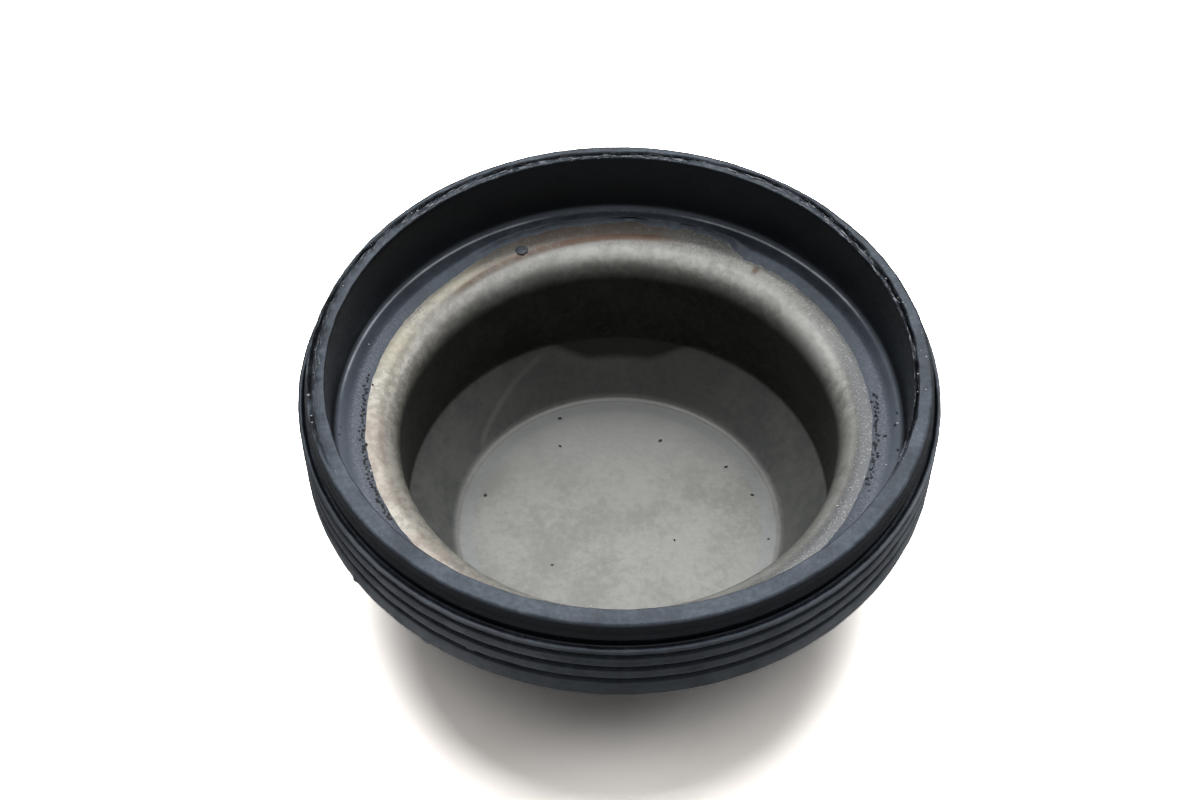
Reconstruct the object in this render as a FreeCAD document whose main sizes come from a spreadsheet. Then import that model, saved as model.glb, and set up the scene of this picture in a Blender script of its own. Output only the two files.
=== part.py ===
import FreeCAD, Part
import os

import Sketcher

# Camshaft plug: a drawn steel cup whose flange is held in a moulded rubber rim.
# The plug stands on its closed end, open side up, with its axis on Z.

# Driving dimensions in millimetres, the slope in degrees.
SIZES = {
    # drawn steel cup, measured inwards from the sealing ribs
    "rib_radius": 24.0,
    "edge_cover": 1.6,
    "flange_width": 5.5,
    "cone_width": 3.4,
    "cone_slope": 52,
    "cup_depth": 14.6,
    "sheet": 1.2,
    "floor_bend": 1.0,
    "waist_bend": 0.8,
    "mouth_bend": 1.1,
    # rubber skin on both sides of the flange, with feathered edges
    "top_skin": 0.3,
    "bare_top": 0.15,
    "under_skin": 0.6,
    "bare_under": 0.8,
    "feather": 0.25,
    # lip that stands on the flange
    "lip_rise": 6.0,
    "lip_setback": 0.75,
    "lip_wall": 1.45,
    "lip_edge": 0.2,
    "lip_root": 0.6,
    # sealing ribs
    "band_height": 5.8,
    "rib_count": 4,
    "rib_pitch": 1.5,
    "rib_cut": 0.5,
    "rib_valley": 0.84,
    "first_crest": 0.4,
    "rib_tip": 0.3,
    "lead_in": 0.5,
    # gap between the lip and the first rib, with a bead on the lip
    "gap_depth": 0.35,
    "gap_width": 0.25,
    "bead_rise": 0.9,
    "bead_proud": 0.2,
    "bead_width": 0.8,
}

# Radii and heights that follow from the driving dimensions.
FLANGE = "(sizes.rib_radius - sizes.edge_cover)"
WELL = f"({FLANGE} - sizes.flange_width)"
WELL_OUTSIDE = f"({WELL} + sizes.sheet)"
FLOOR = f"({WELL} - sizes.cone_width)"
SHELF = "(sizes.sheet + sizes.cup_depth)"
UNDERSIDE = "sizes.cup_depth"
WAIST = "(sizes.sheet + sizes.cone_width * tan(sizes.cone_slope))"
MOUTH_END = f"({WELL_OUTSIDE} + sizes.mouth_bend)"
TOP_BORDER = f"({MOUTH_END} + sizes.bare_top)"
UNDER_BORDER = f"({MOUTH_END} + sizes.bare_under)"
SKIN_TOP = f"({SHELF} + sizes.top_skin)"
RIM_BOTTOM = f"({UNDERSIDE} - sizes.under_skin)"
LIP_TOP = f"({SHELF} + sizes.lip_rise)"
LIP_OUTER = "(sizes.rib_radius - sizes.lip_setback)"
LIP_INNER = f"({LIP_OUTER} - sizes.lip_wall)"
RIB_TOP = f"({RIM_BOTTOM} + sizes.band_height)"
FIRST_CUT = f"({RIB_TOP} - sizes.first_crest - sizes.rib_valley / 2)"
GAP_FLOOR = f"({RIB_TOP} - sizes.gap_depth)"
BEAD = f"({GAP_FLOOR} + sizes.bead_rise)"

EDGE_MATCH = 0.001

doc = FreeCAD.newDocument("camshaft_plug")
sheet = doc.addObject("Spreadsheet::Sheet", "sizes")


def fill_sheet():
    for row, (alias, value) in enumerate(SIZES.items(), start=1):
        sheet.set(f"A{row}", alias)
        sheet.set(f"B{row}", str(value))
        sheet.setAlias(f"B{row}", alias)
    doc.recompute()


def size(expression):
    return float(sheet.evalExpression(expression))


def new_body(label):
    body = doc.addObject("PartDesign::Body", label)
    body.Label = label
    body.Placement = FreeCAD.Placement()
    return body


def origin_feature(body, role):
    return next(item for item in body.Origin.OriginFeatures if item.Role == role)


def new_sketch(body, name):
    sketch = body.newObject("Sketcher::SketchObject", name)
    sketch.AttachmentSupport = (origin_feature(body, "XZ_Plane"), [""])
    sketch.MapMode = "FlatFace"
    return sketch


def bind(sketch, constraint, expression):
    index = sketch.addConstraint(constraint)
    sketch.setExpression(f"Constraints[{index}]", expression)


def place_point(sketch, geometry, point, radius, height):
    # A radius or height of "0" puts the point on the axis or on the base plane.
    if radius == "0":
        sketch.addConstraint(Sketcher.Constraint("PointOnObject", geometry, point, -2))
    else:
        bind(sketch, Sketcher.Constraint("DistanceX", -1, 1, geometry, point, size(radius)), radius)
    if height == "0":
        sketch.addConstraint(Sketcher.Constraint("PointOnObject", geometry, point, -1))
    else:
        bind(sketch, Sketcher.Constraint("DistanceY", -1, 1, geometry, point, size(height)), height)


def half_section(body, name, corners):
    sketch = new_sketch(body, name)
    points = [FreeCAD.Vector(size(radius), size(height), 0) for radius, height in corners]
    count = len(points)
    for line in range(count):
        sketch.addGeometry(Part.LineSegment(points[line], points[(line + 1) % count]))
    for line, (radius, height) in enumerate(corners):
        before = (line - 1) % count
        sketch.addConstraint(Sketcher.Constraint("Coincident", before, 2, line, 1))
        place_point(sketch, line, 1, radius, height)
    return sketch


def turn(body, kind, name, sketch):
    feature = body.newObject(f"PartDesign::{kind}", name)
    feature.Profile = sketch
    feature.ReferenceAxis = (sketch, ["V_Axis"])
    feature.Angle = 360
    doc.recompute()
    return feature


def is_ring(edge, radius, height):
    if not isinstance(edge.Curve, Part.Circle):
        return False
    right_radius = abs(edge.Curve.Radius - size(radius)) < EDGE_MATCH
    return right_radius and abs(edge.Curve.Center.z - size(height)) < EDGE_MATCH


def ease_rings(body, kind, name, rings, amount):
    # Each ring is a full circle about the axis, known by its radius and height.
    base = body.Tip
    names = []
    for radius, height in rings:
        edges = enumerate(base.Shape.Edges, start=1)
        found = [number for number, edge in edges if is_ring(edge, radius, height)]
        if len(found) != 1:
            raise RuntimeError(f"{name}: no single edge at {radius}, {height}")
        names.append(f"Edge{found[0]}")
    feature = body.newObject(f"PartDesign::{kind}", name)
    feature.Base = (base, names)
    feature.setExpression("Radius" if kind == "Fillet" else "Size", amount)
    doc.recompute()


def steel_cup():
    body = new_body("steel_cup")
    # The sheet keeps one thickness round each bend of the drawn section.
    floor_outside = f"({FLOOR} + sizes.sheet * tan(sizes.cone_slope / 2))"
    waist_outside = f"({WAIST} - sizes.sheet * tan(45 - sizes.cone_slope / 2))"
    section = half_section(body, "cup_section", [
        ("0", "0"),
        (floor_outside, "0"),
        (WELL_OUTSIDE, waist_outside),
        (WELL_OUTSIDE, UNDERSIDE),
        (FLANGE, UNDERSIDE),
        (FLANGE, SHELF),
        (WELL, SHELF),
        (WELL, WAIST),
        (FLOOR, "sizes.sheet"),
        ("0", "sizes.sheet"),
    ])
    turn(body, "Revolution", "drawn_cup", section)
    # The two lower bends are flat facets that join the ends of their arcs.
    bends = [
        ("floor", (FLOOR, "sizes.sheet"), (floor_outside, "0"), "tan(sizes.cone_slope / 2)"),
        ("waist", (WELL, WAIST), (WELL_OUTSIDE, waist_outside), "tan(45 - sizes.cone_slope / 2)"),
    ]
    for name, hollow_side, full_side, share in bends:
        bend = f"sizes.{name}_bend"
        ease_rings(body, "Chamfer", f"{name}_hollow_side", [hollow_side], f"{bend} * {share}")
        ease_rings(body, "Chamfer", f"{name}_full_side", [full_side], f"({bend} + sizes.sheet) * {share}")
    # The mouth is rolled round, with a facet that touches its inner arc underneath.
    under_mouth = [(WELL_OUTSIDE, UNDERSIDE)]
    ease_rings(body, "Chamfer", "mouth_underside", under_mouth, "sizes.mouth_bend * (2 - sqrt(2))")
    ease_rings(body, "Fillet", "mouth_roll", [(WELL, SHELF)], "sizes.mouth_bend + sizes.sheet")
    return body


def cut_ribs(body):
    # One valley below the first rib, repeated down to the last rib. It opens past the crests.
    valley_mouth = "(sizes.rib_radius + sizes.rib_cut)"
    section = half_section(body, "rib_cut_section", [
        ("(sizes.rib_radius - sizes.rib_cut)", FIRST_CUT),
        (valley_mouth, f"({FIRST_CUT} - sizes.rib_valley)"),
        (valley_mouth, f"({FIRST_CUT} + sizes.rib_valley)"),
    ])
    uncut = body.Tip.Shape.Volume
    cut = turn(body, "Groove", "rib_cut", section)
    if cut.Shape.Volume >= uncut:
        raise RuntimeError("the rib cut removes nothing")
    row = body.newObject("PartDesign::LinearPattern", "rib_cuts")
    row.Originals = [cut]
    row.Direction = (origin_feature(body, "Z_Axis"), [""])
    row.Reversed = True
    row.setExpression("Occurrences", "sizes.rib_count - 1")
    row.setExpression("Length", "(sizes.rib_count - 2) * sizes.rib_pitch")
    body.Tip = row
    doc.recompute()


def rubber_rim():
    body = new_body("rubber_rim")
    # The section wraps the flange edge, then rises into the lip and the rib band.
    section = half_section(body, "rim_section", [
        (TOP_BORDER, SHELF),
        (FLANGE, SHELF),
        (FLANGE, UNDERSIDE),
        (UNDER_BORDER, UNDERSIDE),
        (f"({UNDER_BORDER} + sizes.feather)", RIM_BOTTOM),
        ("sizes.rib_radius", RIM_BOTTOM),
        ("sizes.rib_radius", RIB_TOP),
        ("(sizes.rib_radius - sizes.rib_tip)", RIB_TOP),
        (f"({LIP_OUTER} + sizes.gap_width)", GAP_FLOOR),
        (LIP_OUTER, GAP_FLOOR),
        (LIP_OUTER, f"({BEAD} - sizes.bead_width / 2)"),
        (f"({LIP_OUTER} + sizes.bead_proud)", BEAD),
        (LIP_OUTER, f"({BEAD} + sizes.bead_width / 2)"),
        (LIP_OUTER, LIP_TOP),
        (LIP_INNER, LIP_TOP),
        (LIP_INNER, SKIN_TOP),
        (f"({TOP_BORDER} + sizes.feather)", SKIN_TOP),
    ])
    turn(body, "Revolution", "moulded_rim", section)
    lip_edges = [(LIP_INNER, LIP_TOP), (LIP_OUTER, LIP_TOP)]
    ease_rings(body, "Chamfer", "lip_edges", lip_edges, "sizes.lip_edge")
    ease_rings(body, "Chamfer", "lip_root", [(LIP_INNER, SKIN_TOP)], "sizes.lip_root")
    ease_rings(body, "Chamfer", "lead_in", [("sizes.rib_radius", RIM_BOTTOM)], "sizes.lead_in")
    cut_ribs(body)
    return body


def check_document():
    doc.recompute()
    for item in doc.Objects:
        if "Invalid" in item.State or "Error" in item.State:
            raise RuntimeError(f"{item.Name} failed: {item.State}")


def check_shape(body):
    if body.Shape.isNull() or not body.Shape.isValid():
        raise RuntimeError(f"{body.Label} has no valid shape")


fill_sheet()
sub_parts = [steel_cup(), rubber_rim()]
check_document()
for sub_part in sub_parts:
    check_shape(sub_part)
os.makedirs("parts", exist_ok=True)
for sub_part in sub_parts:
    sub_part.Shape.exportStep(f"parts/{sub_part.Label}.step")
    print(sub_part.Label, "volume", round(sub_part.Shape.Volume, 1), "mm3")
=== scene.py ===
import bpy
import math
import random
from mathutils import Euler, Matrix, Vector, noise


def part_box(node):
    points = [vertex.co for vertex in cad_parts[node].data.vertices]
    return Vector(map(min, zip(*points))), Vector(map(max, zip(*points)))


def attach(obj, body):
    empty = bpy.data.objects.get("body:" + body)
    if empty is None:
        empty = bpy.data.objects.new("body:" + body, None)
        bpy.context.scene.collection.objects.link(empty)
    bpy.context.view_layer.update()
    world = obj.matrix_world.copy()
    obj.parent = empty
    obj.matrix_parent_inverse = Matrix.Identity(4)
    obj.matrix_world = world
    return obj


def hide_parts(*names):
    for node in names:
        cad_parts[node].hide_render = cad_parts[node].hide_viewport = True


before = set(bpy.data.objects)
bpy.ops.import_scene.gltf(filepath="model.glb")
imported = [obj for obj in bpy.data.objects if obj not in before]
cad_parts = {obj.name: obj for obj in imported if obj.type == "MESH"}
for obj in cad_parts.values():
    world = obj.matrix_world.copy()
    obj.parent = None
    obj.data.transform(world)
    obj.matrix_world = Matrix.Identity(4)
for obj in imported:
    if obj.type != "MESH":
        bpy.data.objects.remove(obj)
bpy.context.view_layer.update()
mm = 0.001
weldGap = 0.0005 * mm
nearlyLevel = 0.0001 * mm
nearlyStraight = 1e-4
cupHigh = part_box("steel_cup")[1]
rimLow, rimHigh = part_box("rubber_rim")
print("frame loaded", sorted(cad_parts))


# Places on the plug are polar: radius, and turn in degrees from the back, positive to the right
def placeAt(radius, turn, height):
    angle = math.radians(turn)
    return Vector((radius * math.sin(angle), radius * math.cos(angle), height))


def turnOf(point):
    return math.degrees(math.atan2(point.x, point.y))


def smoothStep(low, high, value):
    share = max(0.0, min(1.0, (value - low) / (high - low)))
    return share * share * (3 - 2 * share)


# Sections: corners are (radius, height, rounding), and each rounding becomes an arc
def roundedPath(corners, arcSteps):
    path = []
    for index, (radius, height, rounding) in enumerate(corners):
        corner = Vector((radius, height))
        if rounding == 0:
            path.append(corner)
            continue
        before = (Vector(corners[index - 1][:2]) - corner).normalized()
        after = (Vector(corners[(index + 1) % len(corners)][:2]) - corner).normalized()
        half = before.angle(after) / 2
        centre = corner + (before + after).normalized() * (rounding / math.sin(half))
        start = corner + before * (rounding / math.tan(half)) - centre
        end = corner + after * (rounding / math.tan(half)) - centre
        for step in range(arcSteps + 1):
            share = step / arcSteps
            spoke = start.slerp(end, share) if start.angle(end) > nearlyStraight else start
            path.append(centre + spoke.normalized() * rounding)
    return path


def splitPath(path, longest):
    fine = [path[0]]
    for point in path[1:]:
        pieces = max(1, math.ceil((point - fine[-1]).length / longest))
        start = fine[-1]
        fine += [start.lerp(point, step / pieces) for step in range(1, pieces + 1)]
    return fine


def selectOnly(pieces):
    bpy.ops.object.select_all(action="DESELECT")
    for piece in pieces:
        piece.select_set(True)
    bpy.context.view_layer.objects.active = pieces[0]


def startMesh(name, adder, **settings):
    bpy.ops.object.select_all(action="DESELECT")
    adder(**settings)
    piece = bpy.context.object
    piece.name = name
    piece.data.name = name
    return piece


def applyPlace(piece):
    selectOnly([piece])
    bpy.ops.object.transform_apply(location=True, rotation=True, scale=True)


def spinSection(name, path, steps):
    start = path[0]
    piece = startMesh(name, bpy.ops.mesh.primitive_plane_add, size=mm, location=(start.x, 0, start.y))
    applyPlace(piece)
    bpy.ops.object.mode_set(mode="EDIT")
    bpy.ops.mesh.select_all(action="SELECT")
    bpy.ops.mesh.merge(type="CENTER")
    for here, there in zip(path, path[1:]):
        move = there - here
        bpy.ops.mesh.extrude_region_move(TRANSFORM_OT_translate={"value": (move.x, 0, move.y)})
    bpy.ops.mesh.select_all(action="SELECT")
    bpy.ops.mesh.spin(steps=steps, angle=math.tau, center=(0, 0, 0), axis=(0, 0, 1))
    bpy.ops.mesh.select_all(action="SELECT")
    bpy.ops.mesh.remove_doubles(threshold=weldGap)
    bpy.ops.mesh.normals_make_consistent(inside=False)
    bpy.ops.object.mode_set(mode="OBJECT")
    return piece


def smoothShade(piece, degrees):
    selectOnly([piece])
    bpy.ops.object.shade_smooth_by_angle(angle=math.radians(degrees))


def dress(piece, material):
    piece.data.materials.clear()
    piece.data.materials.append(material)
    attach(piece, "root")


# Node helpers: a value is a number, a colour or another node's output
def fillSocket(tree, socket, value):
    if isinstance(value, bpy.types.NodeSocket):
        tree.links.new(value, socket)
    else:
        socket.default_value = value


def addNode(tree, kind, settings=None, **inputs):
    made = tree.nodes.new(kind)
    for key, value in (settings or {}).items():
        setattr(made, key, value)
    for key, value in inputs.items():
        socketKey = int(key[2:]) if key.startswith("in") else key
        fillSocket(tree, made.inputs[socketKey], value)
    return made


def calc(tree, operation, first, second=0.0, clamp=False):
    settings = {"operation": operation, "use_clamp": clamp}
    return addNode(tree, "ShaderNodeMath", settings, in0=first, in1=second).outputs[0]


def product(tree, first, *others):
    total = first
    for other in others:
        total = calc(tree, "MULTIPLY", total, other)
    return total


def awayFrom(tree, value, middle):
    return calc(tree, "ABSOLUTE", calc(tree, "SUBTRACT", value, middle))


def ease(tree, value, low, high, start=0.0, end=1.0):
    made = addNode(tree, "ShaderNodeMapRange", {"interpolation_type": "SMOOTHSTEP"}, Value=value)
    for key, number in (("From Min", low), ("From Max", high), ("To Min", start), ("To Max", end)):
        made.inputs[key].default_value = number
    return made.outputs["Result"]


def band(tree, value, low, high, soft):
    rise = ease(tree, value, low - soft, low + soft)
    fall = ease(tree, value, high - soft, high + soft, 1.0, 0.0)
    return calc(tree, "MULTIPLY", rise, fall)


def speckle(tree, vector, scale, detail, roughness):
    settings = {"Vector": vector, "Scale": scale, "Detail": detail, "Roughness": roughness}
    return addNode(tree, "ShaderNodeTexNoise", None, **settings).outputs["Fac"]


def blendColour(tree, share, first, second):
    made = addNode(tree, "ShaderNodeMix", {"data_type": "RGBA"}, in0=share, in6=first, in7=second)
    return made.outputs[2]


def readAttribute(tree, name):
    return addNode(tree, "ShaderNodeAttribute", {"attribute_name": name}).outputs["Fac"]


def polarPlace(tree):
    coords = addNode(tree, "ShaderNodeTexCoord").outputs["Object"]
    parts = addNode(tree, "ShaderNodeSeparateXYZ", None, Vector=coords)
    across, along, up = (parts.outputs[key] for key in ("X", "Y", "Z"))
    square = calc(tree, "ADD", product(tree, across, across), product(tree, along, along))
    return {
        "coords": coords,
        "radius": product(tree, calc(tree, "SQRT", square), 1 / mm),
        "turn": product(tree, calc(tree, "ARCTAN2", across, along), math.degrees(1)),
        "height": product(tree, up, 1 / mm),
    }


def newMaterial(name):
    material = bpy.data.materials.new(name)
    material.use_nodes = True
    tree = material.node_tree
    tree.nodes.clear()
    shader = addNode(tree, "ShaderNodeBsdfPrincipled")
    output = addNode(tree, "ShaderNodeOutputMaterial")
    tree.links.new(shader.outputs[0], output.inputs["Surface"])
    return material, tree, shader


def setBump(tree, shader, height, strength, distance):
    bump = addNode(tree, "ShaderNodeBump", None, Height=height, Strength=strength, Distance=distance)
    tree.links.new(bump.outputs[0], shader.inputs["Normal"])


# Camera at the photograph's place and angle
cameraSet = {
    "eye": (0, -93.96 * mm, 131.52 * mm),
    "lens": 58.44,
    "sensor": 36,
    "nearest": 5 * mm,
    "down": 50.56,
    "aside": 0.88,
    "roll": -0.08,
}


def makeCamera(settings):
    data = bpy.data.cameras.new("camera")
    data.sensor_fit = "HORIZONTAL"
    data.sensor_width = settings["sensor"]
    data.lens = settings["lens"]
    data.clip_start = settings["nearest"]
    camera = bpy.data.objects.new("camera", data)
    bpy.context.scene.collection.objects.link(camera)
    camera.location = settings["eye"]
    aim = Euler((math.radians(90 - settings["down"]), 0, math.radians(settings["aside"]))).to_matrix()
    roll = Matrix.Rotation(math.radians(settings["roll"]), 3, "Z")
    camera.rotation_euler = (aim @ roll).to_euler()
    bpy.context.scene.camera = camera


makeCamera(cameraSet)
print("camera placed")


# Drawn cup: one thickness of sheet round every bend
cupSet = {
    "sheet": 1.2 * mm,
    "flangeWidth": 5.5 * mm,
    "coneWidth": 3.4 * mm,
    "coneSlope": math.radians(52),
    "floorBend": 1.0 * mm,
    "waistBend": 0.8 * mm,
    "mouthBend": 1.1 * mm,
    "arcSteps": 10,
    "longest": 0.9 * mm,
    "steps": 288,
    "smoothAngle": 30,
    "outwardLean": 0.1,
}


def markOutside(cup, lean):
    outside = cup.data.attributes.new("outside", "FLOAT", "POINT")
    for vertex in cup.data.vertices:
        outward = Vector((vertex.co.x, vertex.co.y, 0)).normalized()
        away = vertex.normal.z < -lean or vertex.normal.dot(outward) > lean
        outside.data[vertex.index].value = 1.0 if away else 0.0


def makeCup(settings):
    sheet = settings["sheet"]
    flange = cupHigh.x
    shelf = cupHigh.z
    well = flange - settings["flangeWidth"]
    floor = well - settings["coneWidth"]
    waist = sheet + settings["coneWidth"] * math.tan(settings["coneSlope"])
    floorShift = sheet * math.tan(settings["coneSlope"] / 2)
    waistShift = sheet * math.tan(math.pi / 4 - settings["coneSlope"] / 2)
    corners = [
        (0, 0, 0),
        (floor + floorShift, 0, settings["floorBend"] + sheet),
        (well + sheet, waist - waistShift, settings["waistBend"] + sheet),
        (well + sheet, shelf - sheet, settings["mouthBend"]),
        (flange, shelf - sheet, 0),
        (flange, shelf, 0),
        (well, shelf, settings["mouthBend"] + sheet),
        (well, waist, settings["waistBend"]),
        (floor, sheet, settings["floorBend"]),
        (0, sheet, 0),
    ]
    path = splitPath(roundedPath(corners, settings["arcSteps"]), settings["longest"])
    cup = spinSection("drawn_cup", path, settings["steps"])
    smoothShade(cup, settings["smoothAngle"])
    markOutside(cup, settings["outwardLean"])
    return cup


cup = makeCup(cupSet)
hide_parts("steel_cup")
print("cup drawn", len(cup.data.polygons))


# Moulded rim: skin over the flange, lip, bead, gap and ribs
rimSet = {
    "sheet": 1.2 * mm,
    "topSkin": 0.3 * mm,
    "topBorder": 19.35 * mm,
    "topFeather": 0.9 * mm,
    "skinRound": 1.2 * mm,
    "underBorder": 20.0 * mm,
    "underFeather": 0.5 * mm,
    "lipInner": 21.8 * mm,
    "lipOuter": 23.25 * mm,
    "lipRound": 0.3 * mm,
    "lipRoot": 0.6 * mm,
    "beadHeight": 20.35 * mm,
    "beadHalf": 0.4 * mm,
    "beadProud": 0.2 * mm,
    "beadRound": 0.36 * mm,
    "beadFoot": 0.24 * mm,
    "gapFloor": 19.45 * mm,
    "gapWidth": 0.25 * mm,
    "ribTop": 19.8 * mm,
    "ribTip": 0.3 * mm,
    "tipRound": 0.18 * mm,
    "ribPitch": 1.5 * mm,
    "cutCount": 3,
    "firstCut": 18.98 * mm,
    "firstRound": 0.36 * mm,
    "cutHalf": 0.42 * mm,
    "cutDepth": 0.5 * mm,
    "crestRound": 0.62 * mm,
    "cutRound": 0.16 * mm,
    "leadIn": 0.5 * mm,
    "edgeRound": 0.12 * mm,
    "arcSteps": 4,
    "longest": 0.5 * mm,
    "lipLongest": 0.07 * mm,
    "steps": 512,
}


def makeRim(settings):
    crest = rimHigh.x
    lipTop = rimHigh.z
    bottom = rimLow.z
    shelf = cupHigh.z
    skin = shelf + settings["topSkin"]
    inner, outer = settings["lipInner"], settings["lipOuter"]
    bead, beadHalf = settings["beadHeight"], settings["beadHalf"]
    edge = settings["edgeRound"]
    corners = [
        (settings["topBorder"], shelf, 0),
        (settings["topBorder"] + settings["topFeather"], skin, settings["skinRound"]),
        (inner, skin, settings["lipRoot"]),
        (inner, lipTop, edge),
        (outer, lipTop, settings["lipRound"]),
        (outer, bead + beadHalf, settings["beadFoot"]),
        (outer + settings["beadProud"], bead, settings["beadRound"]),
        (outer, bead - beadHalf, settings["beadFoot"]),
        (outer, settings["gapFloor"], edge),
        (outer + settings["gapWidth"], settings["gapFloor"], edge),
        (crest - settings["ribTip"], settings["ribTop"], settings["tipRound"]),
        (crest, settings["ribTop"], settings["tipRound"]),
    ]
    for cut in range(settings["cutCount"]):
        middle = settings["firstCut"] - cut * settings["ribPitch"]
        corners += [
            (crest, middle + settings["cutHalf"], settings["crestRound"] if cut else settings["firstRound"]),
            (crest - settings["cutDepth"], middle, settings["cutRound"]),
            (crest, middle - settings["cutHalf"], settings["crestRound"]),
        ]
    corners += [
        (crest, bottom, settings["leadIn"]),
        (settings["underBorder"] + settings["underFeather"], bottom, edge),
        (settings["underBorder"], shelf - settings["sheet"], 0),
        (cupHigh.x, shelf - settings["sheet"], 0),
        (cupHigh.x, shelf, 0),
        (settings["topBorder"], shelf, 0),
    ]
    path = splitPath(roundedPath(corners, settings["arcSteps"]), settings["longest"])
    lip = [point for point in path if point.y > lipTop - nearlyLevel]
    first = path.index(lip[0])
    path = path[:first] + splitPath(lip, settings["lipLongest"]) + path[first + len(lip):]
    return spinSection("moulded_rim", path, settings["steps"])


rim = makeRim(rimSet)
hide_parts("rubber_rim")
print("rim moulded", len(rim.data.polygons))

# Torn flash line round the back of the lip, ragged skin border and nubs on the ribs.
# The line is (turn, radius in mm), a nub (turn, height and size in mm), a wave (scale, seed, share).
wearSet = {
    "tearLine": [
        (-125, 22.9), (-75, 22.86), (-37, 22.53), (0, 22.35),
        (36, 22.65), (64, 22.25), (99, 21.95), (125, 21.9),
    ],
    "tearStart": (-124, -92),
    "tearEnd": (124, 100),
    "tearFaint": 0.45,
    "tearBreaks": (9, 3.1),
    "tearBroken": (-0.45, 0.1),
    "tearDepth": 0.4 * mm,
    "tearHalf": 0.105 * mm,
    "tearSwell": 0.6,
    "swellWave": (30, 5.5),
    "tearWander": 0.09 * mm,
    "tearWaves": [(14, 7.7, 1), (45, 2.4, 0.7)],
    "frayInner": (-9, -1),
    "frayOuter": (1.5, 0),
    "frayHeight": 0.07 * mm,
    "frayGrain": 2600,
    "lipDepth": 0.2 * mm,
    "lipWander": 0.05 * mm,
    "lipWave": (16, 1.2),
    "borderReach": 21 * mm,
    "borderDepth": 0.05 * mm,
    "borderWander": 0.08 * mm,
    "borderWaves": [(11, 4.4, 1), (40, 8.8, 0.5), (110, 6.1, 0.25)],
    "borderFade": (20.6 * mm, 19.5 * mm),
    "smearStart": (-4, 8),
    "smearEnd": (48, 36),
    "smearWander": 0.4 * mm,
    "bareStart": (-46, -20),
    "bareEnd": (36, 20),
    "bareBack": 0.85 * mm,
    "bareWander": 0.3,
    "bareWave": (14, 9.3),
    "bareFade": (21 * mm, 19.4 * mm),
    "ribDepth": 0.6 * mm,
    "crestDepth": 0.3 * mm,
    "ribWander": 0.035 * mm,
    "ribGrain": 700,
    "nubs": [
        (-128, 14.6, 0.2), (-134, 14.8, 0.16), (-139, 15.0, 0.22),
        (-146, 14.5, 0.15), (-155, 16.4, 0.1),
    ],
    "nubReach": 0.45 * mm,
    "smoothAngle": 50,
}


def tearRadius(turn, line):
    for (startTurn, startRadius), (endTurn, endRadius) in zip(line, line[1:]):
        if startTurn <= turn <= endTurn:
            share = smoothStep(startTurn, endTurn, turn)
            return (startRadius + (endRadius - startRadius) * share) * mm
    return line[-1][1] * mm


def ringNoise(turn, scale, seed):
    angle = math.radians(turn)
    return noise.noise(Vector((math.cos(angle) * scale, math.sin(angle) * scale, seed)))


def ringWaves(turn, waves):
    return sum(share * ringNoise(turn, scale, seed) for scale, seed, share in waves)


def betweenTurns(turn, start, end):
    return smoothStep(*start, turn) * smoothStep(*end, turn)


def tearOnLip(point, radius, turn, settings):
    faint = settings["tearFaint"]
    whole = smoothStep(*settings["tearBroken"], ringNoise(turn, *settings["tearBreaks"]))
    strength = betweenTurns(turn, settings["tearStart"], settings["tearEnd"]) * (faint + (1 - faint) * whole)
    wander = settings["tearWander"] * ringWaves(turn, settings["tearWaves"])
    middle = tearRadius(turn, settings["tearLine"]) + wander
    half = settings["tearHalf"] * (1 + settings["tearSwell"] * ringNoise(turn, *settings["swellWave"]))
    away = (radius - middle) / half
    crack = strength * math.exp(-away * away)
    fray = strength * smoothStep(*settings["frayInner"], away) * smoothStep(*settings["frayOuter"], away)
    point.z -= settings["tearDepth"] * crack
    point.z += settings["frayHeight"] * fray * noise.noise(point * settings["frayGrain"])
    return crack, fray


def borderShift(turn, settings):
    smear = betweenTurns(turn, settings["smearStart"], settings["smearEnd"])
    wander = settings["borderWander"] + smear * (settings["smearWander"] - settings["borderWander"])
    ragged = wander * ringWaves(turn, settings["borderWaves"])
    bare = betweenTurns(turn, settings["bareStart"], settings["bareEnd"])
    bare *= 1 + settings["bareWander"] * ringNoise(turn, *settings["bareWave"])
    return ragged, settings["bareBack"] * bare


def wearRim(rim, settings):
    lipTop, crest, shelf = rimHigh.z, rimHigh.x, cupHigh.z
    tear = rim.data.attributes.new("tear", "FLOAT", "POINT")
    fray = rim.data.attributes.new("fray", "FLOAT", "POINT")
    brightened = rim.data.attributes.new("crest", "FLOAT", "POINT")
    for vertex in rim.data.vertices:
        point = vertex.co
        radius = math.hypot(point.x, point.y)
        turn = turnOf(point)
        outward = Vector((point.x / radius, point.y / radius, 0))
        if point.z > lipTop - settings["lipDepth"]:
            crack, frayed = tearOnLip(point, radius, turn, settings)
            tear.data[vertex.index].value = crack
            fray.data[vertex.index].value = frayed
            point += outward * settings["lipWander"] * ringNoise(turn, *settings["lipWave"])
        elif radius < settings["borderReach"] and point.z > shelf - settings["borderDepth"]:
            ragged, bare = borderShift(turn, settings)
            point += outward * ragged * smoothStep(*settings["borderFade"], radius)
            point += outward * bare * smoothStep(*settings["bareFade"], radius)
        elif radius > crest - settings["ribDepth"]:
            brightened.data[vertex.index].value = smoothStep(crest - settings["crestDepth"], crest, radius)
            point += outward * settings["ribWander"] * noise.noise(point * settings["ribGrain"])
            for nubTurn, nubHeight, nubProud in settings["nubs"]:
                gap = (point - placeAt(crest, nubTurn, nubHeight * mm)).length / settings["nubReach"]
                if gap < 1:
                    point += outward * nubProud * mm * (1 - gap * gap) ** 2
    smoothShade(rim, settings["smoothAngle"])


wearRim(rim, wearSet)
print("rim worn")

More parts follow.
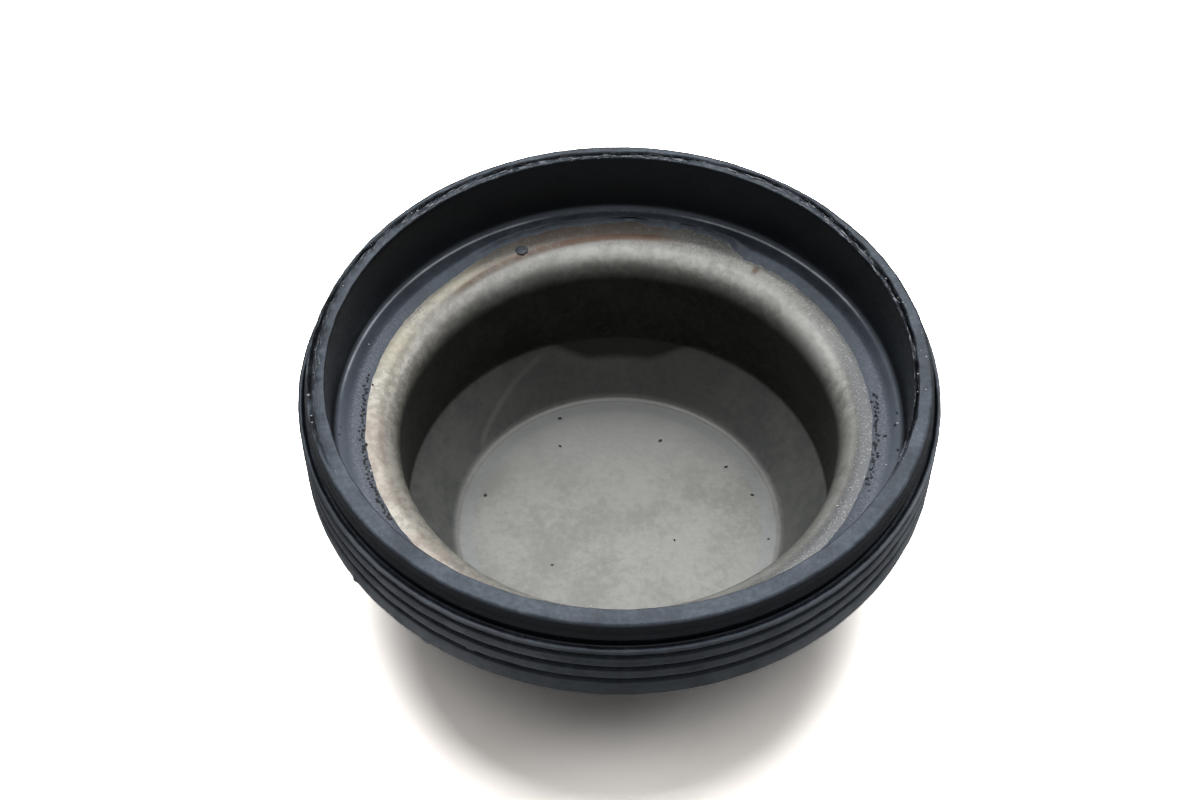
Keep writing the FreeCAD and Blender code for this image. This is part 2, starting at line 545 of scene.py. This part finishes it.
# Finishes: lengths in mm, turns in degrees. A grain is (scale, detail, roughness), a band is
# (low, high, softness), and a reach is (from, to) with the two values it eases between, if not 0 and 1.
steelSet = {
    "cloud": (240, 4, 0.6),
    "fleck": (1500, 3, 0.65),
    "grain": (3200, 3, 0.6),
    "cloudShare": 0.6,
    "fleckShare": 0.4,
    "mottleReach": (0.38, 0.62),
    "discShades": ((0.27, 0.266, 0.248, 1), (0.355, 0.35, 0.325, 1)),
    "discBackLight": (0.45, 0.448, 0.43, 1),
    "discBackLightReach": (2, 12, 0.0, 0.75),
    "discFrontShade": (0.21, 0.208, 0.20, 1),
    "discFrontShadeReach": (-12, 0, 0.15, 0.0),
    "edge": (0.31, 0.325, 0.34, 1),
    "edgeHighlightBand": (11.9, 12.9, 0.25),
    "edgeHighlightShare": 0.5,
    "filletShade": (0.1, 0.102, 0.1, 1),
    "filletShadeReach": (12.9, 13.15, 0.0, 0.45),
    "coneShades": ((0.185, 0.19, 0.185, 1), (0.25, 0.252, 0.238, 1)),
    "paleCurve": (0.42, 0.42, 0.40, 1),
    "paleCurveHeight": 7.37,
    "paleCurveClimb": 0.0994,
    "paleCurveReach": (0.05, 0.35, 0.5, 0.0),
    "paleCurveTurns": (-56, -24, 3),
    "coneBackShade": (0.04, 0.04, 0.037, 1),
    "coneBackShadeTurns": (15, 70, 0.65, 0.0),
    "stain": (0.015, 0.015, 0.013, 1),
    "stainHeight": 3.9,
    "stainClimb": (8, 24, 0.0, 1.6),
    "stainReach": (-0.2, 0.5),
    "wallToneAndShade": ((0.014, 0.014, 0.012, 1), (0.034, 0.034, 0.029, 1)),
    "wallSideLight": (0.042, 0.044, 0.037, 1),
    "wallSideLightTurns": (30, 100, 0.0, 0.7),
    "coneHeight": (1.22, 1.36),
    "wallHeight": (5.3, 5.8),
    "rollReach": (0.4, 0.6),
    "rollShades": ((0.36, 0.35, 0.325, 1), (0.48, 0.468, 0.435, 1)),
    "rollHighlight": (0.87, 0.857, 0.82, 1),
    "highlightReach": (0.4, 0.58, 0.5, 0.95),
    "rollHighlightTurns": (60, 100),
    "rollDrop": (60, 100, 0.0, 0.7),
    "rollHeight": (12.4, 15.2),
    "dustAndLightReach": (0.42, 0.58),
    "dustAndLightShades": ((0.46, 0.43, 0.37, 1), (0.68, 0.635, 0.55, 1)),
    "dustAndLightTurns": (-150, -55, 25),
    "dustAndLightShare": 0.75,
    "shelfShades": ((0.18, 0.177, 0.164, 1), (0.25, 0.245, 0.228, 1)),
    "shelfRightShade": (0.155, 0.158, 0.163, 1),
    "shelfRightShadeTurns": (65, 140, 20),
    "shelfHeight": (15.35, 15.72),
    "sparkle": (0.85, 0.84, 0.82, 1),
    "sparkleGrain": (7000, 2, 0.6),
    "sparkleReach": (0.55, 0.68, 0.0, 0.28),
    "sparkleHeight": (14.2, 15.2),
    "tintHeight": (15.1, 15.7),
    "tints": [
        ((0.42, 0.375, 0.28, 1), (-78, -24, 8), (0.4, 0.6, 0.15, 0.6)),
        ((0.30, 0.225, 0.19, 1), (-150, -88, 12), (0.4, 0.6, 0.1, 0.5)),
    ],
    "haze": (0.165, 0.125, 0.102, 1),
    "hazeTurns": (-36, 14, 8),
    "hazeBand": (18.5, 21.5, 0.4),
    "hazeReach": (0.4, 0.56, 0.1, 0.8),
    "rust": (0.105, 0.055, 0.032, 1),
    "rustTurns": (-48, 12, 6),
    "rustRadius": 18.75,
    "rustClimb": 0.014,
    "rustWidth": (0.1, 0.45, 0.85, 0.0),
    "rustReach": (0.36, 0.56, 0.3, 1.0),
    "spotTurn": 36,
    "spotWidth": (0.2, 1.2, 0.8, 0.0),
    "spotBand": (18.35, 19.05, 0.25),
    "outsideShades": ((0.15, 0.149, 0.14, 1), (0.22, 0.217, 0.203, 1)),
    "metallic": 0.25,
    "specular": 0.2,
    "roughReach": (0.2, 0.8, 0.38, 0.52),
    "polishReach": (14.2, 15.6, 0.0, -0.1),
    "fleckBump": 0.6,
    "bumpStrength": 0.35,
    "bumpDepth": 0.04 * mm,
}


def readSpot(tree, look):
    spot = polarPlace(tree)
    for key in ("cloud", "fleck", "grain"):
        spot[key] = speckle(tree, spot["coords"], *look[key])
    spot["backTurn"] = calc(tree, "ABSOLUTE", spot["turn"])
    return spot


def discColour(tree, spot, look, mottled):
    radius = spot["radius"]
    backward = product(tree, radius, calc(tree, "COSINE", calc(tree, "RADIANS", spot["turn"])))
    disc = blendColour(tree, mottled, *look["discShades"])
    # painted light makes the back of the disc paler, and painted shade darkens its front
    disc = blendColour(tree, ease(tree, backward, *look["discBackLightReach"]), disc, look["discBackLight"])
    disc = blendColour(tree, ease(tree, backward, *look["discFrontShadeReach"]), disc, look["discFrontShade"])
    # painted highlight: a pale bluish ring just inside the disc's edge
    edge = product(tree, band(tree, radius, *look["edgeHighlightBand"]), look["edgeHighlightShare"])
    disc = blendColour(tree, edge, disc, look["edge"])
    # painted shade in the bend where the disc meets the cone
    return blendColour(tree, ease(tree, radius, *look["filletShadeReach"]), disc, look["filletShade"])


# pale curved line across the cone at the back left; painted shade on the back of the cone, deepest under its
# top edge at the back
def coneColour(tree, spot, look, mottled):
    turn, height = spot["turn"], spot["height"]
    cone = blendColour(tree, mottled, *look["coneShades"])
    paleCurveHeight = calc(tree, "ADD", look["paleCurveHeight"], product(tree, turn, look["paleCurveClimb"]))
    paleCurve = ease(tree, awayFrom(tree, height, paleCurveHeight), *look["paleCurveReach"])
    paleCurve = product(tree, paleCurve, band(tree, turn, *look["paleCurveTurns"]))
    cone = blendColour(tree, paleCurve, cone, look["paleCurve"])
    # painted shade on the back of the cone
    backSide = ease(tree, spot["backTurn"], *look["coneBackShadeTurns"])
    cone = blendColour(tree, backSide, cone, look["coneBackShade"])
    # painted shade in a notch under the cone's top edge at the back
    climb = ease(tree, spot["backTurn"], *look["stainClimb"])
    stainHeight = calc(tree, "ADD", look["stainHeight"], climb)
    stain = ease(tree, calc(tree, "SUBTRACT", height, stainHeight), *look["stainReach"])
    return blendColour(tree, stain, cone, look["stain"])


# the flat shelf is duller than the roll, which carries a painted highlight at the back; both are paler on
# the left with dust and painted light, the shelf has painted shade on the right, and painted glints speckle
# the roll
def mouthColour(tree, spot, look, mottle, colour):
    turn, height, backTurn = spot["turn"], spot["height"], spot["backTurn"]
    # dust and painted light make the left side paler
    leftSide = product(tree, band(tree, turn, *look["dustAndLightTurns"]), look["dustAndLightShare"])
    dustAndLight = blendColour(tree, ease(tree, spot["fleck"], *look["dustAndLightReach"]), *look["dustAndLightShades"])
    mottled = ease(tree, mottle, *look["rollReach"])
    roll = blendColour(tree, mottled, *look["rollShades"])
    # painted highlight on the roll at the back, broken up by the mottle
    offBack = ease(tree, backTurn, *look["rollHighlightTurns"])
    brightened = calc(tree, "SUBTRACT", ease(tree, mottle, *look["highlightReach"]), offBack, True)
    roll = blendColour(tree, brightened, roll, look["rollHighlight"])
    roll = blendColour(tree, leftSide, roll, dustAndLight)
    rollHeight = calc(tree, "SUBTRACT", height, ease(tree, backTurn, *look["rollDrop"]))
    colour = blendColour(tree, ease(tree, rollHeight, *look["rollHeight"]), colour, roll)
    shelf = blendColour(tree, mottled, *look["shelfShades"])
    shelf = blendColour(tree, leftSide, shelf, dustAndLight)
    # painted shade on the right of the shelf
    shelf = blendColour(tree, band(tree, turn, *look["shelfRightShadeTurns"]), shelf, look["shelfRightShade"])
    colour = blendColour(tree, ease(tree, height, *look["shelfHeight"]), colour, shelf)
    # painted glints on the roll
    sparkle = ease(tree, speckle(tree, spot["coords"], *look["sparkleGrain"]), *look["sparkleReach"])
    sparkle = product(tree, sparkle, ease(tree, height, *look["sparkleHeight"]))
    return blendColour(tree, sparkle, colour, look["sparkle"])


# yellow and pink tints on the left of the shelf, brown haze, a rust streak and a spot at its back
def rustColour(tree, spot, look, mottle, colour):
    turn, radius = spot["turn"], spot["radius"]
    high = ease(tree, spot["height"], *look["tintHeight"])
    for tint, turns, reach in look["tints"]:
        share = product(tree, band(tree, turn, *turns), high, ease(tree, spot["cloud"], *reach))
        colour = blendColour(tree, share, colour, tint)
    haze = product(tree, band(tree, turn, *look["hazeTurns"]), band(tree, radius, *look["hazeBand"]))
    haze = product(tree, haze, ease(tree, mottle, *look["hazeReach"]))
    colour = blendColour(tree, haze, colour, look["haze"])
    rustRadius = calc(tree, "ADD", look["rustRadius"], product(tree, turn, look["rustClimb"]))
    rust = ease(tree, awayFrom(tree, radius, rustRadius), *look["rustWidth"])
    rust = product(tree, band(tree, turn, *look["rustTurns"]), rust)
    mark = ease(tree, awayFrom(tree, turn, look["spotTurn"]), *look["spotWidth"])
    mark = product(tree, mark, band(tree, radius, *look["spotBand"]))
    rust = calc(tree, "MAXIMUM", rust, mark)
    rust = product(tree, rust, ease(tree, mottle, *look["rustReach"]), high)
    return blendColour(tree, rust, colour, look["rust"])


def makeSteel(look):
    material, tree, shader = newMaterial("dull_drawn_steel")
    spot = readSpot(tree, look)
    height, fleck, grain = spot["height"], spot["fleck"], spot["grain"]
    cloudPart = product(tree, spot["cloud"], look["cloudShare"])
    mottle = calc(tree, "ADD", cloudPart, product(tree, fleck, look["fleckShare"]))
    mottled = ease(tree, mottle, *look["mottleReach"])
    disc = discColour(tree, spot, look, mottled)
    cone = coneColour(tree, spot, look, mottled)
    # the inner wall is dark steel, made much darker with painted shade; painted light makes it paler at the
    # sides than at the back
    wall = blendColour(tree, mottled, *look["wallToneAndShade"])
    wall = blendColour(tree, ease(tree, spot["backTurn"], *look["wallSideLightTurns"]), wall, look["wallSideLight"])
    colour = blendColour(tree, ease(tree, height, *look["coneHeight"]), disc, cone)
    colour = blendColour(tree, ease(tree, height, *look["wallHeight"]), colour, wall)
    colour = mouthColour(tree, spot, look, mottle, colour)
    colour = rustColour(tree, spot, look, mottle, colour)
    # the outside has no rust or tints and no painted light or shade: one dull grey all over
    plain = blendColour(tree, mottled, *look["outsideShades"])
    colour = blendColour(tree, readAttribute(tree, "outside"), colour, plain)
    tree.links.new(colour, shader.inputs["Base Color"])
    shader.inputs["Metallic"].default_value = look["metallic"]
    shader.inputs["Specular IOR Level"].default_value = look["specular"]
    polish = ease(tree, height, *look["polishReach"])
    rough = calc(tree, "ADD", ease(tree, grain, *look["roughReach"]), polish)
    tree.links.new(rough, shader.inputs["Roughness"])
    relief = calc(tree, "ADD", grain, product(tree, fleck, look["fleckBump"]))
    setBump(tree, shader, relief, look["bumpStrength"], look["bumpDepth"])
    return material


rubberSet = {
    "cloud": (300, 4, 0.6),
    "fleck": (2200, 3, 0.65),
    "grain": (3000, 3, 0.6),
    "cloudReach": (0.3, 0.7),
    "blackShades": ((0.002, 0.0023, 0.003, 1), (0.005, 0.006, 0.008, 1)),
    "upReach": (0.55, 0.98),
    "bloomAndSheen": (0.107, 0.123, 0.153, 1),
    "bloomAndSheenCloud": (0.3, 0.7, 0.25, 1.0),
    "bloomAndSheenFleck": (0.3, 0.7, 0.5, 1.0),
    "skin": (0.075, 0.086, 0.11, 1),
    "skinHeight": (16.4, 16.8, 1.0, 0.0),
    "skinSheenTurns": (30, 95, 0.4, 0.85),
    "shade": (0.012, 0.014, 0.02, 1),
    "shadeTurns": (14, 66, 12),
    "shadeCloud": (0.3, 0.7, 0.75, 0.4),
    "powder": (0.26, 0.265, 0.3, 1),
    "powderTurns": ((-130, -60, 15), (70, 125, 15)),
    "powderBand": (19.5, 20.5, 0.35),
    "powderGrain": (6000, 3, 0.7),
    "powderReach": (0.42, 0.64, 0.15, 0.75),
    "root": (0.72, 0.75, 0.79, 1),
    "rootHighlightTurns": ((-84, -20, 6), (16, 62, 6)),
    "rootHighlightBand": (21.33, 21.47, 0.07),
    "rootHighlightHeight": (16.6, 17.0, 1.0, 0.0),
    "rootHighlightCloud": (0.3, 0.6, 0.4, 0.9),
    "crestReach": (0.3, 0.9),
    "crestCloud": (0.3, 0.7, 0.6, 1.0),
    "crestWearAndLightShades": ((0.125, 0.14, 0.165, 1), (0.29, 0.31, 0.35, 1)),
    "crestPaleTurns": ((70, 150, 25), (-165, -128, 12)),
    "crestDark": (0.06, 0.068, 0.082, 1),
    "crestDarkTurns": (-122, -60, 12),
    "ribReach": (23.3, 23.45),
    "ribHeight": (19.5, 19.7, 1.0, 0.0),
    "frayFacing": (0.2, 0.6),
    "frayShare": 0.9,
    "fray": (0.006, 0.007, 0.009, 1),
    "streakAlong": 0.45,
    "streakAcross": 9.0,
    "streakGrain": (1.0, 3, 0.7),
    "streakReach": (0.53, 0.6),
    "streakTurns": (-80, -40, 0.3, 1.0),
    "streakShare": 0.9,
    "streak": (0.55, 0.58, 0.63, 1),
    "tearReach": (0.35, 0.7),
    "tear": (0.002, 0.002, 0.003, 1),
    "specular": 0.4,
    "specularTint": (0.76, 0.87, 1.0, 1),
    "roughReach": (0.2, 0.8, 0.3, 0.44),
    "frayRough": 0.5,
    "valleyRough": 0.55,
    "bumpStrength": 0.3,
    "bumpDepth": 0.03 * mm,
}


def eitherBand(tree, value, bands):
    first, second = (band(tree, value, *limits) for limits in bands)
    return calc(tree, "MAXIMUM", first, second)


# bloom and painted sheen on what faces up, stronger on the skin at the sides; painted shade on the skin at
# the back right, dust on both sides and a painted highlight along the lip root
def skinColour(tree, spot, look, up):
    turn, radius, height, cloud = (spot[key] for key in ("turn", "radius", "height", "cloud"))
    colour = blendColour(tree, ease(tree, cloud, *look["cloudReach"]), *look["blackShades"])
    # bloom and painted sheen on what faces up
    bloomAndSheen = product(tree, up, ease(tree, cloud, *look["bloomAndSheenCloud"]))
    bloomAndSheen = product(tree, bloomAndSheen, ease(tree, spot["fleck"], *look["bloomAndSheenFleck"]))
    colour = blendColour(tree, bloomAndSheen, colour, look["bloomAndSheen"])
    # the flat skin gets more painted sheen at the sides than at the back
    flat = product(tree, ease(tree, height, *look["skinHeight"]), up)
    skin = product(tree, flat, ease(tree, spot["backTurn"], *look["skinSheenTurns"]))
    colour = blendColour(tree, skin, colour, look["skin"])
    # painted shade on the skin at the back right
    shade = product(tree, band(tree, turn, *look["shadeTurns"]), flat)
    shade = product(tree, shade, ease(tree, cloud, *look["shadeCloud"]))
    colour = blendColour(tree, shade, colour, look["shade"])
    powder = ease(tree, speckle(tree, spot["coords"], *look["powderGrain"]), *look["powderReach"])
    dusted = product(tree, skin, powder, band(tree, radius, *look["powderBand"]))
    dusted = product(tree, dusted, eitherBand(tree, turn, look["powderTurns"]))
    colour = blendColour(tree, dusted, colour, look["powder"])
    # painted highlight: a pale line along the lip root at the back left and back right
    root = product(tree, band(tree, radius, *look["rootHighlightBand"]), ease(tree, height, *look["rootHighlightHeight"]))
    root = product(tree, root, ease(tree, cloud, *look["rootHighlightCloud"]))
    root = product(tree, root, eitherBand(tree, turn, look["rootHighlightTurns"]))
    return blendColour(tree, root, colour, look["root"])


# rib crests: wear lightened further as a painted highlight, with painted light on the right and front left
# and painted shade on the left
def crestColour(tree, spot, look, crest, colour):
    turn = spot["turn"]
    brightened = ease(tree, crest, *look["crestReach"])
    brightened = product(tree, brightened, ease(tree, spot["cloud"], *look["crestCloud"]))
    crestWearAndLight = blendColour(tree, eitherBand(tree, turn, look["crestPaleTurns"]), *look["crestWearAndLightShades"])
    crestWearAndLight = blendColour(tree, band(tree, turn, *look["crestDarkTurns"]), crestWearAndLight, look["crestDark"])
    return blendColour(tree, brightened, colour, crestWearAndLight)


# torn strip: dark, with pale streaks that run round the lip
def tornColour(tree, spot, look, fray, colour):
    turn = spot["turn"]
    colour = blendColour(tree, product(tree, fray, look["frayShare"]), colour, look["fray"])
    along = product(tree, turn, look["streakAlong"])
    across = product(tree, spot["radius"], look["streakAcross"])
    streakPlace = addNode(tree, "ShaderNodeCombineXYZ", None, X=across, Y=along).outputs[0]
    streak = ease(tree, speckle(tree, streakPlace, *look["streakGrain"]), *look["streakReach"])
    streak = product(tree, fray, streak, ease(tree, turn, *look["streakTurns"]), look["streakShare"])
    colour = blendColour(tree, streak, colour, look["streak"])
    tear = ease(tree, readAttribute(tree, "tear"), *look["tearReach"])
    return blendColour(tree, tear, colour, look["tear"])


def makeRubber(look):
    material, tree, shader = newMaterial("black_moulded_rubber")
    spot = readSpot(tree, look)
    geometry = addNode(tree, "ShaderNodeNewGeometry")
    facing = addNode(tree, "ShaderNodeSeparateXYZ", None, Vector=geometry.outputs["Normal"]).outputs["Z"]
    crest = readAttribute(tree, "crest")
    fray = product(tree, readAttribute(tree, "fray"), ease(tree, facing, *look["frayFacing"]))
    colour = skinColour(tree, spot, look, ease(tree, facing, *look["upReach"]))
    colour = crestColour(tree, spot, look, crest, colour)
    colour = tornColour(tree, spot, look, fray, colour)
    tree.links.new(colour, shader.inputs["Base Color"])
    shader.inputs["Specular IOR Level"].default_value = look["specular"]
    shader.inputs["Specular Tint"].default_value = look["specularTint"]
    ribs = ease(tree, spot["radius"], *look["ribReach"])
    ribs = product(tree, ribs, ease(tree, spot["height"], *look["ribHeight"]))
    valley = product(tree, ribs, calc(tree, "SUBTRACT", 1.0, crest))
    rough = ease(tree, spot["grain"], *look["roughReach"])
    rough = calc(tree, "ADD", rough, product(tree, fray, look["frayRough"]))
    rough = calc(tree, "ADD", rough, product(tree, valley, look["valleyRough"]))
    tree.links.new(rough, shader.inputs["Roughness"])
    setBump(tree, shader, spot["grain"], look["bumpStrength"], look["bumpDepth"])
    return material


# Dirt: two shades and a roughness for each kind
dirtSet = {
    "crumb": ("torn_rubber_crumb", (0.002, 0.002, 0.003, 1), (0.01, 0.011, 0.013, 1), 0.6),
    "dust": ("pale_dust", (0.55, 0.55, 0.53, 1), (0.85, 0.85, 0.83, 1), 0.7),
    "smudge": ("rubber_smudge", (0.055, 0.064, 0.078, 1), (0.11, 0.122, 0.14, 1), 0.5),
    "grain": (2500, 3, 0.6),
    "shadeReach": (0.35, 0.65),
    "roughReach": (0.3, 0.7),
    "roughSpread": 0.1,
}


def makeDirt(settings, kind):
    name, dark, pale, roughness = settings[kind]
    material, tree, shader = newMaterial(name)
    coords = addNode(tree, "ShaderNodeTexCoord").outputs["Object"]
    shade = speckle(tree, coords, *settings["grain"])
    colour = blendColour(tree, ease(tree, shade, *settings["shadeReach"]), dark, pale)
    tree.links.new(colour, shader.inputs["Base Color"])
    spread = settings["roughSpread"]
    rough = ease(tree, shade, *settings["roughReach"], roughness - spread, roughness + spread)
    tree.links.new(rough, shader.inputs["Roughness"])
    return material


dress(cup, makeSteel(steelSet))
dress(rim, makeRubber(rubberSet))
crumbBlack, dustWhite, smudgeGrey = (makeDirt(dirtSet, kind) for kind in ("crumb", "dust", "smudge"))
print("finishes made")

# Crumbs, dust and specks: (radius, turn, height, width), each on the surface that carries it.
# A pit row is (first turn, last turn, radius, spread, count).
scrapSet = {
    "seed": 41,
    "crumbRadius": 0.5 * mm,
    "crumbSmooth": 0.2,
    "flatness": 0.35,
    "lumps": 0.45,
    "lumpGrain": 2500,
    "spinStep": 2.4,
    "narrowness": 0.7,
    "discSpecks": [
        (12.2, -24.5, 1.2, 0.52), (9.5, -31.5, 1.2, 0.42), (11.4, -75.6, 1.2, 0.52),
        (9.5, 21.9, 1.2, 0.5), (10.9, 56.2, 1.2, 0.46), (11.6, 74.2, 1.2, 0.46),
        (4.9, 108.2, 1.2, 0.3), (12.4, 96.1, 1.2, 0.34), (6.7, -128, 1.2, 0.32),
    ],
    "skinCrumbs": [
        (21.3, -97.3, 16.1, 0.3), (21.2, -95.3, 16.1, 0.22), (21.2, 90, 16.1, 0.34),
        (21.0, 93.2, 16.1, 0.36), (20.25, 96.4, 16.1, 0.42), (21.3, 99.7, 16.1, 0.42),
        (19.8, 109.9, 15.97, 0.3), (19.95, 111.7, 16.02, 0.26),
    ],
    "pitRows": [(-122, -80, 19.62, 0.22, 70), (84, 110, 19.62, 0.24, 44)],
    "pitJitter": (0.1, 0.9),
    "pitSpread": 0.5,
    "pitWidths": (0.18, 0.45),
    "pitLowest": 15.82,
    "pitHighest": 16.1,
    "pitClimb": 0.33,
    "pitBorder": 19.35,
    "dust": [
        (23.0, -98.8, 21.78, 0.3), (21.2, 92.7, 16.1, 0.26), (19.4, -107.7, 15.86, 0.36),
        (17.8, -174, 15.78, 0.3), (22.9, 82, 21.78, 0.2), (22.8, 88, 21.78, 0.22),
        (22.6, 96, 21.78, 0.22), (20.6, 104, 16.1, 0.2), (18.3, 118, 15.75, 0.22),
        (18.6, 112, 15.78, 0.24), (20.7, -72, 16.1, 0.18), (21.4, -66, 16.15, 0.18),
    ],
    "lipDustCount": 40,
    "lipDustRadii": (22.0, 23.0),
    "lipDustTurns": (40, 118),
    "lipDustHeight": 21.78,
    "lipDustWidths": (0.1, 0.19),
}


def makeCrumb(settings):
    crumb = startMesh("crumb", bpy.ops.mesh.primitive_ico_sphere_add, subdivisions=1,
                      radius=settings["crumbRadius"])
    bpy.ops.object.mode_set(mode="EDIT")
    bpy.ops.mesh.select_all(action="SELECT")
    bpy.ops.mesh.vertices_smooth(factor=settings["crumbSmooth"])
    bpy.ops.transform.resize(value=(1, 1, settings["flatness"]))
    bpy.ops.object.mode_set(mode="OBJECT")
    return crumb


def scatterCrumbs(name, crumb, settings, spots, material):
    copies = []
    for index, (radius, turn, height, width) in enumerate(spots):
        copy = crumb.copy()
        copy.data = crumb.data.copy()
        bpy.context.scene.collection.objects.link(copy)
        for vertex in copy.data.vertices:
            lump = noise.noise(vertex.co * settings["lumpGrain"] + Vector((index, 0, 0)))
            vertex.co *= 1 + settings["lumps"] * lump
        shape = Matrix.Diagonal((width, settings["narrowness"] * width, width, 1))
        spin = Matrix.Rotation(settings["spinStep"] * index, 4, "Z") @ shape
        copy.data.transform(Matrix.Translation(placeAt(radius * mm, turn, height * mm)) @ spin)
        copies.append(copy)
    selectOnly(copies)
    bpy.ops.object.join()
    joined = bpy.context.object
    joined.name = name
    joined.data.name = name
    dress(joined, material)


def drawPits(settings):
    pits = []
    for first, last, middle, spread, count in settings["pitRows"]:
        for step in range(count):
            turn = first + (last - first) * (step + random.uniform(*settings["pitJitter"])) / count
            radius = middle + random.gauss(0, spread * settings["pitSpread"])
            climb = settings["pitClimb"] * max(0.0, radius - settings["pitBorder"])
            height = min(settings["pitHighest"], settings["pitLowest"] + climb)
            pits.append((radius, turn, height, random.uniform(*settings["pitWidths"])))
    return pits


def drawLipDust(settings):
    flecks = []
    for step in range(settings["lipDustCount"]):
        side = random.choice((-1, 1))
        radius = random.uniform(*settings["lipDustRadii"])
        turn = side * random.uniform(*settings["lipDustTurns"])
        flecks.append((radius, turn, settings["lipDustHeight"], random.uniform(*settings["lipDustWidths"])))
    return flecks


def makeScraps(settings):
    random.seed(settings["seed"])
    crumb = makeCrumb(settings)
    crumbs = settings["skinCrumbs"] + drawPits(settings)
    dust = settings["dust"] + drawLipDust(settings)
    scatterCrumbs("floor_specks", crumb, settings, settings["discSpecks"], crumbBlack)
    scatterCrumbs("skin_crumbs", crumb, settings, crumbs, crumbBlack)
    scatterCrumbs("dust_flecks", crumb, settings, dust, dustWhite)
    bpy.data.objects.remove(crumb)


makeScraps(scrapSet)
print("crumbs and dust scattered")

# Smudge of rubber on the shelf at the back left
dotSet = {
    "place": (18.9, -25.4, 15.82),
    "radius": 0.5 * mm,
    "segments": 24,
    "rings": 12,
    "stretch": (1.1, 1, 0.16),
    "lumps": 0.3,
    "lumpGrain": 2200,
    "smoothAngle": 60,
}


def makeDot(settings):
    radius, turn, height = settings["place"]
    place = placeAt(radius * mm, turn, height * mm)
    dot = startMesh("rubber_dot", bpy.ops.mesh.primitive_uv_sphere_add, location=place,
                    segments=settings["segments"], ring_count=settings["rings"], radius=settings["radius"])
    applyPlace(dot)
    bpy.ops.object.mode_set(mode="EDIT")
    bpy.ops.mesh.select_all(action="SELECT")
    bpy.ops.transform.resize(value=settings["stretch"], center_override=place)
    bpy.ops.object.mode_set(mode="OBJECT")
    for vertex in dot.data.vertices:
        lump = noise.noise(vertex.co * settings["lumpGrain"])
        vertex.co += (vertex.co - place) * settings["lumps"] * lump
    smoothShade(dot, settings["smoothAngle"])
    dress(dot, smudgeGrey)


makeDot(dotSet)
print("smudge laid")

# Floor, light and background: the floor's reaches are radii in mm
stageSet = {
    "floorSize": 6.0,
    "floorColour": 0.5,
    "floorShine": 0.4,
    "floorUnder": (1.13, 1.1, 1.08, 1),
    "floorSeen": (6.8, 6.35, 6.0, 1),
    "shadowReach": (15.2, 24.5),
    "floorFade": (70, 250),
    "worldLight": 0.015,
    "roomFront": 0.9,
    "roomBack": 0.5,
    "roomReach": (-0.6, 0.2),
    "white": (1, 1, 1, 1),
    "lampColour": (0.97, 0.99, 1.0),
    "softboxes": [
        ("back_softbox", (0.0, 0.26, 0.54), 0.66, 3.6),
        ("front_softbox", (0.0, -0.42, 0.5), 0.2, 0.14),
        ("right_softbox", (0.6, 0.2, 0.3), 0.3, 0.4),
        ("left_softbox", (-0.6, 0.2, 0.3), 0.3, 0.18),
    ],
}


def makeFloor(settings):
    floor = startMesh("floor", bpy.ops.mesh.primitive_plane_add, size=settings["floorSize"],
                      location=(0, 0, 0))
    material = bpy.data.materials.new("white_floor")
    material.use_nodes = True
    tree = material.node_tree
    tree.nodes.clear()
    rays = addNode(tree, "ShaderNodeLightPath").outputs
    level = ease(tree, rays["Is Glossy Ray"], 0.0, 1.0, settings["floorColour"], settings["floorShine"])
    # painted shadow: to the camera the floor is darker near the plug, deepest under the rim and gone a
    # little way past it
    radius = polarPlace(tree)["radius"]
    clear = ease(tree, radius, *settings["shadowReach"])
    seen = blendColour(tree, clear, settings["floorUnder"], settings["floorSeen"])
    colour = blendColour(tree, rays["Is Camera Ray"], level, seen)
    shader = addNode(tree, "ShaderNodeBsdfDiffuse", None, Color=colour)
    # far from the plug the floor is as white as the background behind it
    white = addNode(tree, "ShaderNodeEmission", None, Color=settings["white"], Strength=1.0)
    fade = product(tree, ease(tree, radius, *settings["floorFade"]), rays["Is Camera Ray"])
    mixed = addNode(tree, "ShaderNodeMixShader", None, in0=fade, in1=shader.outputs[0], in2=white.outputs[0])
    output = addNode(tree, "ShaderNodeOutputMaterial")
    tree.links.new(mixed.outputs[0], output.inputs["Surface"])
    floor.data.materials.append(material)


def makeWorld(settings):
    world = bpy.data.worlds.new("studio")
    bpy.context.scene.world = world
    world.use_nodes = True
    tree = world.node_tree
    tree.nodes.clear()
    rays = addNode(tree, "ShaderNodeLightPath").outputs
    seen = calc(tree, "MAXIMUM", rays["Is Camera Ray"], rays["Is Transmission Ray"])
    coords = addNode(tree, "ShaderNodeTexCoord").outputs["Generated"]
    toBack = addNode(tree, "ShaderNodeSeparateXYZ", None, Vector=coords).outputs["Y"]
    room = ease(tree, toBack, *settings["roomReach"], settings["roomFront"], settings["roomBack"])
    seen = calc(tree, "MAXIMUM", seen, product(tree, rays["Is Glossy Ray"], room))
    strength = ease(tree, seen, 0.0, 1.0, settings["worldLight"], 1.0)
    back = addNode(tree, "ShaderNodeBackground", None, Color=settings["white"], Strength=strength)
    output = addNode(tree, "ShaderNodeOutputWorld")
    tree.links.new(back.outputs[0], output.inputs["Surface"])


def makeLamp(name, place, size, power, colour):
    data = bpy.data.lights.new(name, "AREA")
    data.shape = "DISK"
    data.size = size
    data.energy = power
    data.color = colour
    lamp = bpy.data.objects.new(name, data)
    bpy.context.scene.collection.objects.link(lamp)
    lamp.location = place
    lamp.rotation_euler = (-Vector(place)).to_track_quat("-Z", "Y").to_euler()


makeFloor(stageSet)
makeWorld(stageSet)
for softbox in stageSet["softboxes"]:
    makeLamp(*softbox, stageSet["lampColour"])
bpy.context.scene.view_settings.view_transform = "Standard"
print("stage lit")
